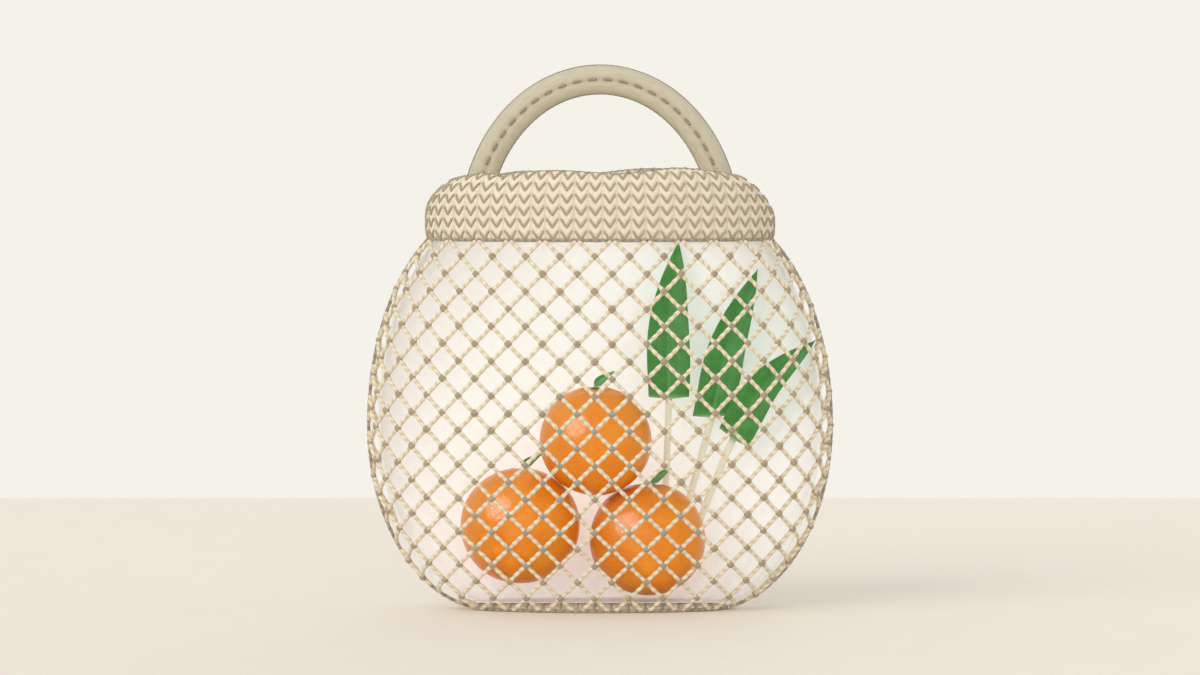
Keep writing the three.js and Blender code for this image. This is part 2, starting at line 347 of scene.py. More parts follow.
# The light: a soft glow from all round, and large lamps with the way that each lies from the bag
AMBIENT = 0.77
LAMP_ANGLE = math.radians(46)
KEY_SOURCE = (-0.64, -0.54, 0.56)
LAMPS = (
    {"name": "key", "source": KEY_SOURCE, "strength": 1.13, "shadows": True},
    {"name": "highlight", "source": KEY_SOURCE, "strength": 4.6, "highlight": True},
    {"name": "front", "source": (0.1, -1.0, 0.15), "strength": 1.2},
    {"name": "back", "source": (0.3, 1.0, 0.2), "strength": 1.2},
)

rng = np.random.default_rng(SEED)


# Points and faces

def unit(vectors):
    """Vectors of length 1 in the same directions."""
    vectors = np.asarray(vectors, float)
    return vectors / np.linalg.norm(vectors, axis=-1, keepdims=True)


def xyz(x, y, z):
    """Points from their coordinates, each an array or one number."""
    return np.stack(np.broadcast_arrays(x, y, z), axis=-1)


def smoothstep(value, low, high):
    """0 below low, 1 above high and a smooth step between them."""
    share = np.clip((value - low) / (high - low), 0, 1)
    return share * share * (3 - 2 * share)


def between(first, second, share):
    """What lies at a share of the way from one thing to another."""
    return first + (second - first) * share


def bell(value, width):
    """1 at 0, and falling away smoothly within about twice the width."""
    return np.exp(-((value / width) ** 2))


def plump(value, plumpness):
    """A sine or cosine for a section that is squarer than an ellipse, or more pointed if under 2."""
    return np.sign(value) * np.abs(value) ** (2 / plumpness)


def round_end(share):
    """The size of a round end, from 0 at its tip to 1 at a share of 1 and beyond."""
    return np.sqrt(1 - (1 - np.clip(share, 0, 1)) ** 2)


def full_turn(count):
    """Even angles all the way round."""
    return TURN * np.arange(count) / count


def oval(width, depth, height, count):
    """Points of a level oval with these half-axes, and the way that it faces at each."""
    turn = full_turn(count)
    path = xyz(width * np.cos(turn), depth * np.sin(turn), height)
    return path, unit(path * OVAL_FACING)


def lengths_along(path):
    """The length along a path, or along each of several paths, at each of its points."""
    length = np.cumsum(np.linalg.norm(np.diff(path, axis=-2), axis=-1), axis=-1)
    return np.concatenate([0 * length[..., :1], length], axis=-1)


def grid_faces(rows, columns, wrap_rows=False, wrap_columns=False):
    """Quads of a grid of points, row by row. A wrapped side joins its last line to its first."""
    row = np.arange(rows if wrap_rows else rows - 1)
    column = np.arange(columns if wrap_columns else columns - 1)
    a, b = np.meshgrid(row, column, indexing="ij")
    after_a = (a + 1) % rows
    after_b = (b + 1) % columns
    corners = (a * columns + b, a * columns + after_b, after_a * columns + after_b, after_a * columns + b)
    return np.stack(corners, axis=-1).reshape(-1, 4)


def ring_faces(rings, sides, closed=False):
    """Faces between rings of points. Unless the last ring joins the first, a flat face closes each end."""
    faces = [grid_faces(rings, sides, wrap_rows=closed, wrap_columns=True)]
    if not closed:
        first = np.arange(sides)
        faces.append(np.stack([first, first + (rings - 1) * sides]))
    return faces


def globe(rings, sides, pole):
    """Angles from the pole and round it for the points of a ball, and their faces. The outermost rings lie
    at an angle pole from the poles."""
    polar = np.linspace(pole, math.pi - pole, rings)[:, None]
    return polar, full_turn(sides), ring_faces(rings, sides)


# Pieces

def placed(name, data):
    """A new object in the scene."""
    made = bpy.data.objects.new(name, data)
    bpy.context.scene.collection.objects.link(made)
    return made


def piece(name, parts, material, slot, *nodes):
    """A finished object, which rides on the bag and stands for these nodes of the model. A part has points,
    the grain and the relief at each, and groups of faces. grain is the point's place in the material, in
    millimetres, and relief is how far the surface stands up there, from -1 to 1."""
    # The yarn and cloth materials paint shade where the relief is low
    points, grain, relief, groups = zip(*parts)
    starts = np.cumsum([0] + [part.size // 3 for part in points])
    faces = []
    for start, group in zip(starts, groups):
        for some in group:
            faces.extend((some + start).tolist())
    every_point, every_grain, every_relief = (
        np.concatenate([np.ravel(part) for part in values]) for values in (points, grain, relief)
    )
    mesh = bpy.data.meshes.new(name)
    mesh.from_pydata((every_point * MM).reshape(-1, 3).tolist(), [], faces)
    mesh.attributes.new("grain", "FLOAT_VECTOR", "POINT").data.foreach_set("vector", every_grain)
    mesh.attributes.new("relief", "FLOAT", "POINT").data.foreach_set("value", every_relief)
    work = bmesh.new()
    work.from_mesh(mesh)
    bmesh.ops.recalc_face_normals(work, faces=work.faces)
    work.to_mesh(mesh)
    work.free()
    mesh.shade_smooth()
    mesh.materials.append(material)
    made = placed(name, mesh)
    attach(made, "root")
    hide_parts(*nodes)
    return made


def chain_stitch(length, angle):
    """The chevrons of a crocheted chain, which meet along the outside of the cord."""
    folded = np.abs((angle + math.pi) % TURN - math.pi)
    return np.cos(TURN * length / CHAIN_PITCH - CHAIN_SLANT * folded)


def tube(path, facing, radius, sides, relief, depth, flatness=1.0, closed=False):
    """A tube along a path. Its radius is one number, or one for each point of the path. depth is the share
    that the relief adds to it, and flatness the share of it that is left along the facing direction."""
    ahead = np.gradient(path, axis=0)
    if closed:
        ahead = np.roll(path, -1, axis=0) - np.roll(path, 1, axis=0)
    tangent = unit(ahead)
    sideways = unit(np.cross(tangent, facing))
    outward = np.cross(sideways, tangent)
    length = lengths_along(path)[:, None]
    angle = full_turn(sides)
    height = relief(length, angle)
    size = np.reshape(radius, (-1, 1)) * (1 + depth * height)
    across = np.sin(angle) * size
    out = np.cos(angle) * size * flatness
    points = path[:, None] + sideways[:, None] * across[..., None] + outward[:, None] * out[..., None]
    # The relief also paints shade between the stitches or plies, in the yarn materials
    return points, xyz(length, across, out), height, ring_faces(len(path), sides, closed)


def chain_cord(path, facing, radius, sides=CORD_SIDES, closed=False):
    """A crocheted chain along a path."""
    return tube(path, facing, radius, sides, chain_stitch, CHAIN_DEPTH, closed=closed)


def twisted_cord(path, facing, radius, twist, sides=CORD_SIDES, flatness=1.0):
    """A cord along a path, twisted of a few plies."""
    pitch, plies, depth = twist

    def ply(length, angle):
        return np.cos(plies * angle + TURN * length / pitch)

    return tube(path, facing, radius, sides, ply, depth, flatness)


def thin_solid(across, along, place, marks):
    """A thin solid with two faces and a rim. place(side, u, v) gives the points of the front (side 1) or
    the back (side -1) at u across, from -1 to 1, and v along, from 0 to 1. marks(u, v) gives the grain
    and the relief there."""
    v, u = np.meshgrid(np.linspace(0, 1, along + 1), np.linspace(-1, 1, across + 1), indexing="ij")
    points = np.concatenate([place(side, u, v).reshape(-1, 3) for side in (1, -1)])
    number = np.arange(u.size).reshape(u.shape)
    rim = np.concatenate([number[0, :-1], number[:-1, -1], number[-1, :0:-1], number[:0:-1, 0]])
    after = np.roll(rim, -1)
    rim_faces = np.stack([rim, after, after + u.size, rim + u.size], axis=-1)
    faces = grid_faces(*u.shape)
    grain, relief = (np.stack([mark, mark]) for mark in marks(u, v))
    return points, grain, relief, (faces, faces + u.size, rim_faces)


# Shader nodes

def linear(name):
    """A named colour as the linear values that a shader takes."""
    values = np.array(COLOURS[name]) / 255
    bright = ((values + 0.055) / 1.055) ** 2.4
    return (*np.where(values <= 0.04045, values / 12.92, bright).tolist(), 1.0)


def add(tree, kind, sockets=None, **settings):
    """A new shader node. Each socket gets a value, a named colour, or a link from another node."""
    made = tree.nodes.new(f"ShaderNode{kind}")
    for field, value in settings.items():
        setattr(made, field, value)
    for socket, value in (sockets or {}).items():
        if isinstance(value, bpy.types.NodeSocket):
            tree.links.new(value, made.inputs[socket])
        else:
            made.inputs[socket].default_value = linear(value) if isinstance(value, str) else value
    return made


def shader(name, roughness, sheen=0.0, coat=0.0, specular=0.3):
    """A new material, with what is the same all over set on its shader."""
    made = bpy.data.materials.new(name)
    made.use_nodes = True
    surface = made.node_tree.nodes["Principled BSDF"]
    settings = {"Roughness": roughness, "Specular IOR Level": specular}
    settings.update({"Sheen Weight": sheen, "Sheen Roughness": SHEEN_ROUGHNESS})
    settings.update({"Coat Weight": coat, "Coat Roughness": COAT_ROUGHNESS})
    for socket, value in settings.items():
        surface.inputs[socket].default_value = value
    return made, made.node_tree, surface


def carried(tree, name):
    """A value that a piece's points carry: its grain, which is a vector, or its relief."""
    node = add(tree, "Attribute", attribute_name=name)
    return node.outputs["Vector" if name == "grain" else "Fac"]


def object_place(tree):
    """The place on the object, in metres."""
    return add(tree, "TexCoord").outputs["Object"]


def spread(tree, value, low, high, lowest=0.0, highest=1.0):
    """A value from low to high as one from lowest to highest, held to its ends."""
    sockets = {"Value": value, "From Min": low, "From Max": high, "To Min": lowest, "To Max": highest}
    return add(tree, "MapRange", sockets).outputs["Result"]


def mixed(tree, share, first, second):
    """A colour between two others."""
    node = add(tree, "Mix", {0: share, 6: first, 7: second}, data_type="RGBA")
    return node.outputs[2]


def math_node(tree, operation, first, second=0.0):
    """A sum, product or other function of one or two values."""
    return add(tree, "Math", {0: first, 1: second}, operation=operation).outputs[0]


def noise(tree, vector, scale, detail=2.0, stretch=(1, 1, 1)):
    """Soft noise in the material, from 0 to 1, stretched along some of its directions."""
    mapped = add(tree, "Mapping", {"Vector": vector, "Scale": stretch}).outputs["Vector"]
    sockets = {"Vector": mapped, "Scale": scale, "Detail": detail}
    return add(tree, "TexNoise", sockets).outputs["Fac"]


def finish(tree, surface, colour, height, strength, distance):
    """Gives a shader its colour, and fine relief that only the light shows."""
    sockets = {"Height": height, "Strength": strength, "Distance": distance * MM}
    node = add(tree, "Bump", sockets)
    tree.links.new(colour, surface.inputs["Base Color"])
    tree.links.new(node.outputs["Normal"], surface.inputs["Normal"])


# Materials

def yarn(name):
    """Soft cotton yarn: darker between the stitches and plies, where shade is painted by the relief, with
    fibres along it and a little unevenness of dye.
    """
    made, tree, surface = shader(name, roughness=0.88, sheen=0.25, specular=0.2)
    grain = carried(tree, "grain")
    # Painted shade: the colour goes towards the _shade colour where the relief is low, between the stitches
    # and plies
    out_of_painted_shade = spread(tree, carried(tree, "relief"), -1.0, 0.5)
    fibres = noise(tree, grain, scale=2.4, detail=3.0, stretch=(0.35, 1.6, 1.6))
    dye = noise(tree, grain, scale=0.09, detail=1.0)
    painted_shade_and_fibres = math_node(tree, "ADD", out_of_painted_shade, spread(tree, fibres, 0.3, 0.7, -0.2, 0.2))
    painted_shade_fibres_and_dye = math_node(tree, "ADD", painted_shade_and_fibres, spread(tree, dye, 0.3, 0.7, -0.15, 0.15))
    colour = mixed(tree, painted_shade_fibres_and_dye, f"{name}_shade", name)
    finish(tree, surface, colour, fibres, strength=0.5, distance=0.25)
    return made


def cloth(name, pitch, strength, through=0.0):
    """Plain woven cotton: two sets of threads that cross, slubs in the thread, a soft unevenness and painted
    shade where the relief is low. through is the share of the light that goes through thin cloth."""
    made, tree, surface = shader(name, roughness=0.92, sheen=0.2, specular=0.15)
    grain = carried(tree, "grain")
    relief = carried(tree, "relief")
    along, across, _ = add(tree, "SeparateXYZ", {0: grain}).outputs
    warp, weft = (
        math_node(tree, "SINE", math_node(tree, "MULTIPLY", way, TURN / pitch)) for way in (along, across)
    )
    weave = math_node(tree, "MULTIPLY", warp, weft)
    slubs = noise(tree, grain, scale=0.5, stretch=(0.2, 1.5, 1.0))
    woven = spread(tree, weave, -1.0, 1.0, 0.55, 1.0)
    tone = math_node(tree, "ADD", woven, spread(tree, slubs, 0.3, 0.7, -0.2, 0.2))
    # Painted shade: the colour goes towards the _shade colour where the relief is low
    tone_and_painted_shade = math_node(tree, "MULTIPLY", tone, spread(tree, relief, -1.0, 0.2))
    threads = mixed(tree, tone_and_painted_shade, f"{name}_shade", name)
    finish(tree, surface, threads, math_node(tree, "ADD", weave, slubs), strength, distance=0.2)
    if through:
        glow = add(tree, "BsdfTranslucent", {"Color": threads}).outputs[0]
        both = add(tree, "MixShader", {0: through, 1: surface.outputs[0], 2: glow}).outputs[0]
        tree.links.new(both, tree.nodes["Material Output"].inputs["Surface"])
    return made


def peel():
    """Orange peel: fine pores painted darker in their pits as shade, soft patches of lighter colour and a
    waxy gloss.
    """
    made, tree, surface = shader("peel", roughness=0.55, coat=0.5, specular=0.15)
    place = object_place(tree)
    cells = add(tree, "TexVoronoi", {"Vector": place, "Scale": 620.0, "Randomness": 0.9})
    pores = spread(tree, cells.outputs["Distance"], 0.05, 0.5)
    patches = noise(tree, place, scale=55.0)
    skin = mixed(tree, spread(tree, patches, 0.35, 0.7), "peel", "peel_light")
    # Painted shade in the pits of the pores
    pores_with_painted_shade = mixed(tree, spread(tree, pores, 0.0, 0.6, 0.45, 1.0), "peel_pore_painted_shade", skin)
    near_stem = spread(tree, carried(tree, "relief"), 0.0, 1.0, 0.0, 0.35)
    colour = mixed(tree, near_stem, pores_with_painted_shade, "calyx")
    finish(tree, surface, colour, pores, strength=0.55, distance=0.35)
    return made


def foliage():
    """A fresh leaf: a pale midrib and stalk, fine veins along the blade and a mottled green."""
    made, tree, surface = shader("leaf", roughness=0.5, coat=0.03, specular=0.2)
    grain = carried(tree, "grain")
    on_stalk = add(tree, "SeparateXYZ", {0: grain}).outputs[2]
    on_rib = spread(tree, carried(tree, "relief"), 0.2, 1.0, 0.0, 0.75)
    streaks = noise(tree, grain, scale=0.8, detail=3.0, stretch=(1.6, 0.05, 1.0))
    mottle = noise(tree, grain, scale=0.12)
    green = mixed(tree, spread(tree, mottle, 0.3, 0.75), "leaf_shade", "leaf")
    veined = mixed(tree, spread(tree, streaks, 0.45, 0.8, 0.0, 0.5), green, "leaf_light")
    ribbed = mixed(tree, on_rib, veined, "leaf_light")
    colour = mixed(tree, on_stalk, ribbed, "stalk")
    finish(tree, surface, colour, streaks, strength=0.35, distance=0.25)
    return made


def stalk_button():
    """The dry green-brown calyx of an orange."""
    made, tree, surface = shader("calyx", roughness=0.7)
    rough = noise(tree, object_place(tree), scale=900.0, detail=3.0)
    colour = mixed(tree, rough, "calyx_shade", "calyx")
    finish(tree, surface, colour, rough, strength=0.5, distance=0.3)
    return made


# The bag's form

def half_width(height):
    """The outer half-axis of the net along X at a height."""
    reach = np.where(height < BELLY_HEIGHT, BELLY_HEIGHT, SHOULDER_RISE)
    fullness = np.sqrt(np.clip(1 - ((height - BELLY_HEIGHT) / reach) ** 2, 0, 1))
    return between(BASE_HALF_WIDTH, BELLY_HALF_WIDTH, fullness)


def half_depth(height):
    """The outer half-axis of the net along Y at a height."""
    flare = 1 - np.clip(1 - height / DEEPEST_HEIGHT, 0, 1) ** TROUGH_POWER
    lower = between(BASE_HALF_DEPTH, BELLY_HALF_DEPTH, flare)
    rise = np.clip((height - DEEPEST_HEIGHT) / (NECK_HEIGHT - DEEPEST_HEIGHT), 0, None)
    upper = between(BELLY_HALF_DEPTH, NECK_HALF_DEPTH, rise**2)
    return np.where(height < DEEPEST_HEIGHT, lower, upper)


# The length from the neck down the wall, on along the base to its centre line, and in all
BASE_DROP = NECK_HEIGHT - BASE_NET_HEIGHT
BASE_REACH = float(half_depth(BASE_NET_HEIGHT))
TOTAL_DROP = BASE_DROP + BASE_REACH

# Angles on a quarter of an oval
QUARTER = np.linspace(0, math.pi / 2, QUARTER_STEPS + 1)


def quarter_lengths(width, depth):
    """The length along each ring from its middle, at the angles of QUARTER."""
    width = np.asarray(width, float)[:, None]
    depth = np.asarray(depth, float)[:, None]
    speed = np.sqrt((width * np.cos(QUARTER)) ** 2 + (depth * np.sin(QUARTER)) ** 2)
    parts = (speed[:, 1:] + speed[:, :-1]) / 2 * QUARTER[1]
    return np.concatenate([0 * width, np.cumsum(parts, axis=1)], axis=1)


def growth(half_axis, height):
    """How fast a half-axis of the net grows with height."""
    return (half_axis(height + SLOPE_STEP) - half_axis(height - SLOPE_STEP)) / (2 * SLOPE_STEP)


def wall_directions(points):
    """The outward directions of the net at points of its wall."""
    x, y, height = points.T
    width = half_width(height)
    depth = half_depth(height)
    widening = x**2 * growth(half_width, height) / width**3
    deepening = y**2 * growth(half_depth, height) / depth**3
    return unit(xyz(x / width**2, y / depth**2, -widening - deepening))


def panel(across, drop, side, inset):
    """Points of the net's front (side -1) or back (side 1), their outward directions, and whether they are on
    it. across is the length along a ring from its middle. drop goes down the wall from the neck, and then
    along the base to its centre line."""
    height = np.maximum(NECK_HEIGHT - drop, BASE_NET_HEIGHT)
    width = half_width(height) - inset
    depth = half_depth(height) - inset
    lengths = quarter_lengths(width, depth)
    angle = [np.interp(abs(s), row, QUARTER) for s, row in zip(across, lengths)]
    angle = np.sign(across) * np.array(angle)
    left = 1 - np.clip((drop - BASE_DROP) / BASE_REACH, 0, 1)
    points = xyz(width * np.sin(angle), side * depth * np.cos(angle) * left, height)
    outward = np.where((drop > BASE_DROP)[:, None], -UP, wall_directions(points))
    return points, outward, np.abs(across) <= lengths[:, -1]


# The net and the cloth

def net_cords(side, slope):
    """The cords on one side of the net that run one way, each cut where it meets the side seams."""
    drop = np.arange(-CORD_TUCK, TOTAL_DROP, CORD_STEP)
    below = drop - FIRST_KNOT[1]
    segment = np.floor(below / (MESH_WIDTH / 2)).astype(int)
    segment -= segment[0]
    slack = np.abs(np.sin(TURN * below / MESH_WIDTH))
    for number in range(-CORDS_ASIDE, CORDS_ASIDE + 1):
        wobble = rng.uniform(-CORD_WOBBLE, CORD_WOBBLE, segment[-1] + 1)[segment] * slack
        across = FIRST_KNOT[0] + number * MESH_WIDTH + slope * below + wobble
        points, outward, inside = panel(across, drop, side, CORD_INSET)
        edges = np.flatnonzero(np.diff(np.concatenate([[0], inside.astype(int), [0]])))
        for first, last in zip(edges[::2], edges[1::2]):
            if last - first > CORD_LEAST_STEPS:
                yield chain_cord(points[first:last], outward[first:last], CORD_RADIUS)


def knot_places(side):
    """The crossings of the net on one side, and their outward directions."""
    rows = int((TOTAL_DROP - FIRST_KNOT[1]) / (MESH_WIDTH / 2))
    numbers = np.arange(-KNOTS_ASIDE, KNOTS_ASIDE + 1)
    for row in range(rows + 1):
        across = FIRST_KNOT[0] + (numbers + (row % 2) / 2) * MESH_WIDTH
        drop = np.full(len(across), FIRST_KNOT[1] + row * MESH_WIDTH / 2)
        points, outward, inside = panel(across, drop, side, KNOT_INSET)
        yield from zip(points[inside], outward[inside])


def net_knots():
    """A small wound knot of darker yarn at each crossing of the net."""
    polar, turn, faces = globe(*KNOT_GRID, KNOT_POLE)
    wound = np.cos(KNOT_PLIES * turn + KNOT_SLANT * polar)
    size = 1 + KNOT_DEPTH * wound
    around = KNOT_RADIUS * np.sin(polar) * size
    out = np.maximum(KNOT_HALF_HEIGHT * np.cos(polar) * size, -KNOT_BACK)
    shape = xyz(around * np.cos(turn), around * np.sin(turn), out).reshape(-1, 3)
    for side in (-1, 1):
        for at, outward in knot_places(side):
            sideways = unit(np.cross(outward, KNOT_ACROSS))
            spin = rng.uniform(0, TURN)
            turned_aside = math.cos(spin) * sideways + math.sin(spin) * np.cross(outward, sideways)
            axes = np.stack([turned_aside, np.cross(outward, turned_aside), outward])
            points = at + shape * rng.uniform(*KNOT_SIZES) @ axes
            points[:, 2] = np.maximum(points[:, 2], FLOOR_GAP)
            # wound is also the relief, which paints shade between the plies
            yield points, shape * KNOT_GRAIN + rng.uniform(0, KNOT_DYE_REACH), wound, faces


def seams():
    """Cords up both sides, where the front and the back of the net meet, and round the edge of the base."""
    rise = 1 - np.cos(np.linspace(0, math.pi / 2, SEAM_RINGS))
    height = SEAM_RADIUS + SEAM_RISE + (NECK_HEIGHT - SEAM_RADIUS) * rise
    height = np.minimum(height, NECK_HEIGHT)
    for side in (-1, 1):
        path = xyz(side * (half_width(height) - SEAM_INSET), 0, height)
        yield chain_cord(path, wall_directions(path), SEAM_RADIUS, SEAM_SIDES)
    edge = SEAM_RADIUS + BASE_SEAM_RISE
    width = half_width(edge) - BASE_SEAM_INSET
    depth = half_depth(edge) - BASE_SEAM_INSET
    path, facing = oval(width, depth, edge, BASE_SEAM_RINGS)
    yield chain_cord(path, facing, SEAM_RADIUS, SEAM_SIDES, closed=True)


def lining_directions(points, drop):
    """Which way the cloth faces: level at the neck, square to the wall below it, and down on the base."""
    wall = wall_directions(points)
    wall[:, 2] *= smoothstep(drop, 0, LINING_TOP_BAND)
    on_base = smoothstep(drop, BASE_DROP - LINING_FOLD, BASE_DROP + LINING_FOLD)[:, None]
    return unit(between(wall, -UP, on_base))


def lining():
    """The cloth inside the back of the net, from the centre line of the base up to the neck."""

    def place(side, u, v):
        """A point of the cloth: it stands out through each mesh of the net and is held back by the cords."""
        drop = TOTAL_DROP * (1 - v.ravel())
        height = np.maximum(NECK_HEIGHT - drop, BASE_NET_HEIGHT)
        reach = LINING_SHARE * quarter_lengths(half_width(height), half_depth(height))[:, -1]
        across = u.ravel() * reach
        hem = 1 - smoothstep(reach - np.abs(across), HEM_WIDTH - HEM_EDGE, HEM_WIDTH)
        rising = (across + drop - FIRST_KNOT[0] - FIRST_KNOT[1]) / MESH_WIDTH
        falling = (across - drop - FIRST_KNOT[0] + FIRST_KNOT[1]) / MESH_WIDTH
        pillow = np.abs(np.sin(math.pi * rising) * np.sin(math.pi * falling)) * (drop < BASE_DROP)
        points, _, _ = panel(across, drop, 1, 0)
        face = -LINING_THICKNESS * (0.5 + hem) if side == 1 else LINING_THICKNESS / 2
        out = LINING_BULGE * pillow + face - LINING_INSET
        return points + lining_directions(points, drop) * out[:, None]

    def marks(u, v):
        return xyz(u * LINING_HALF_SPAN, v * TOTAL_DROP, 0), np.ones(u.shape)

    yield thin_solid(*LINING_GRID, place, marks)


# The collar

def collar_top(sideways, forwards):
    """The height of the collar's soft upper edge at a place in the plan, as shares of its half-axes, with one
    pleat at the front."""
    x = sideways * (COLLAR_HALF_WIDTH - COLLAR_WIDTH_THICKNESS / 2)
    wave = WAVE_HEIGHT * np.cos(TURN * (x - WAVE_CREST * forwards) / WAVE_LENGTH)
    start = np.where(x < 0, LEFT_CORNER[0], RIGHT_CORNER[0])
    end = np.where(x < 0, LEFT_CORNER[1], RIGHT_CORNER[1])
    past = np.clip((np.abs(x) - start) / (end - start), 0, 1)
    corner = CORNER_HEIGHT * (1 - np.sqrt(1 - past**2))
    notch = PLEAT_DEPTH * bell(x - PLEAT_AT, PLEAT_HALF_WIDTH)
    lobe = PLEAT_LOBE * bell(x - PLEAT_LOBE_AT, PLEAT_LOBE_HALF_WIDTH)
    front = smoothstep(forwards, 0, PLEAT_FRONT)
    return COLLAR_TOP + COLLAR_SLANT * x + wave - corner + front * (lobe - notch)


def collar_section(angle):
    """Out, from -1 inside to 0 outside, and rise, from 0 to 1, of the collar's section at an angle from its
    outer side."""
    plumpness = np.where(np.sin(angle) > 0, COLLAR_TOP_PLUMPNESS, COLLAR_FOOT_PLUMPNESS)
    out = (plump(np.cos(angle), plumpness) - 1) / 2
    rise = (plump(np.sin(angle), plumpness) + 1) / 2
    return out, rise


def even_section_angles():
    """Angles at even lengths round the collar's section, from its foot up the outside and down the inside."""
    angle = np.linspace(-math.pi / 2, 3 * math.pi / 2, FINE_STEPS + 1)
    out, rise = collar_section(angle)
    length = lengths_along(xyz(out * COLLAR_DEPTH_THICKNESS, 0, rise * (COLLAR_TOP - COLLAR_BOTTOM)))
    return np.interp(np.linspace(0, length[-1], COLLAR_STEPS + 1)[:-1], length, angle)


class Collar:
    """The collar's smooth surface as a grid: turns round the mouth, and steps round the section. around is
    the length round the outside from the middle of the front, and up the length up the outside and over
    the rim, which on the outer side is the height above the floor."""

    def __init__(self):
        quarter = quarter_lengths([COLLAR_HALF_WIDTH], [NECK_HALF_DEPTH])[0]
        self.girth = 4 * quarter[-1]
        self.pitch = self.girth / STITCH_COLUMNS
        self.around = self.girth * (np.arange(COLLAR_TURNS) / COLLAR_TURNS - 0.5)
        half = np.concatenate([quarter, 2 * quarter[-1] - quarter[-2::-1]])
        angle = np.concatenate([QUARTER, math.pi - QUARTER[-2::-1]])
        turn = np.sign(self.around) * np.interp(np.abs(self.around), half, angle)
        section = even_section_angles()
        out, rise = collar_section(section)
        x = np.sin(turn)[:, None] * (COLLAR_HALF_WIDTH + COLLAR_WIDTH_THICKNESS * out)
        y = -np.cos(turn)[:, None] * (NECK_HALF_DEPTH + COLLAR_DEPTH_THICKNESS * out)
        top = collar_top(np.sin(turn), np.cos(turn))[:, None]
        z = COLLAR_BOTTOM + rise * (top - COLLAR_BOTTOM)
        self.points = xyz(x, y, z)
        length = lengths_along(self.points)
        middle = int(np.argmin(np.abs(section)))
        self.up = length - length[:, [middle]] + z[:, [middle]]
        self.crown = np.argmax(z, axis=1)
        self.rim = self.up[np.arange(COLLAR_TURNS), self.crown]
        inner = [(-z[turn, step:], self.up[turn, step:]) for turn, step in enumerate(self.crown)]
        self.foot = np.array([np.interp(-INNER_FOOT, heights, lengths) for heights, lengths in inner])
        round_it = np.roll(self.points, -1, axis=0) - np.roll(self.points, 1, axis=0)
        over_it = np.roll(self.points, -1, axis=1) - np.roll(self.points, 1, axis=1)
        self.outward = unit(np.cross(round_it, over_it))
        self.both = np.stack([self.points, self.outward], axis=2)

    def at(self, around, up):
        """The point and the outward direction at a place on the surface, and its step round the section."""
        column = ((around / self.girth + 0.5) % 1) * COLLAR_TURNS
        before = int(column) % COLLAR_TURNS
        after = (before + 1) % COLLAR_TURNS
        share = column - int(column)
        found = 0
        found_step = 0
        for turn, weight in ((before, 1 - share), (after, share)):
            step = np.interp(up, self.up[turn], np.arange(COLLAR_STEPS))
            low = int(min(step, COLLAR_STEPS - 2))
            here, ahead = self.both[turn, low : low + 2]
            found = found + weight * between(here, ahead, step - low)
            found_step = found_step + weight * step
        return found[0], unit(found[1]), found_step


def collar_body(shape):
    """The plump ground of the collar, with a rounded ridge between the V stitches of each column."""
    half_pitch = shape.pitch / 2
    aside = np.abs((shape.around - FIRST_COLUMN + half_pitch) % shape.pitch - half_pitch)[:, None]
    inside = np.arange(COLLAR_STEPS) > shape.crown[:, None]
    first_row = np.where(inside, shape.foot[:, None] - STITCH_HEIGHT, FIRST_ROW)
    arm = aside * STITCH_HEIGHT / STITCH_HALF_WIDTH
    ridge = -np.cos(TURN * (shape.up - first_row - arm) / STITCH_ROW)
    gap = bell(aside - half_pitch, COLUMN_GAP)
    by_handle = smoothstep(np.abs(shape.points[..., 1]), *CALM_REACH)
    calm = np.where(np.abs(shape.points[..., 0]) > HANDLE_HALF_SPAN, by_handle, 1)
    # The relief both shapes the ground and paints shade into its colour, darkest in the gaps between columns
    # and in the troughs between ridges
    relief = between(ridge, -1, gap) * calm
    points = shape.points + shape.outward * (COLLAR_RELIEF * (relief - COLLAR_SINK))[..., None]
    grain = xyz(shape.around[:, None], shape.up, 0)
    yield points, grain, relief, ring_faces(COLLAR_TURNS, COLLAR_STEPS, closed=True)


def collar_stitches(shape):
    """The V stitches of darker yarn, in rows from the collar's foot up to the rim, outside and inside. The
    handle takes the place of some inside."""
    place = np.linspace(-1, 1, STITCH_POINTS)
    arm = np.sqrt(place**2 + STITCH_BEND) - math.sqrt(STITCH_BEND)
    lift = STITCH_LIFT - STITCH_SINK * smoothstep(np.abs(place), STITCH_SINK_FROM, 1)
    size = STITCH_RADIUS * (1 - STITCH_THINNING * smoothstep(np.abs(place), STITCH_THIN_FROM, 1))
    for column in range(STITCH_COLUMNS):
        middle = FIRST_COLUMN + column * shape.pitch
        rim = np.interp(middle, shape.around, shape.rim, period=shape.girth)
        foot = np.interp(middle, shape.around, shape.foot, period=shape.girth)
        outside = np.arange(FIRST_ROW, rim, STITCH_ROW)
        inside = np.arange(foot - STITCH_HEIGHT, outside[-1] + STITCH_ROW, -STITCH_ROW)
        for row in (*outside, *inside):
            up = row + rng.uniform(-STITCH_ROW_JITTER, STITCH_ROW_JITTER) + STITCH_HEIGHT * arm
            around = middle + rng.uniform(-STITCH_COLUMN_JITTER, STITCH_COLUMN_JITTER)
            around = around + STITCH_HALF_WIDTH * place
            found = [shape.at(*spot) for spot in zip(around, up)]
            points, outward, steps = (np.array(values) for values in zip(*found))
            on_inside = steps[STITCH_POINTS // 2] > COLLAR_STEPS / 2
            if on_inside and np.abs(points[:, 1]).min() < STITCH_CLEARANCE:
                continue
            path = points + outward * lift[:, None]
            yield twisted_cord(path, outward, size, STITCH_TWIST, STITCH_SIDES)


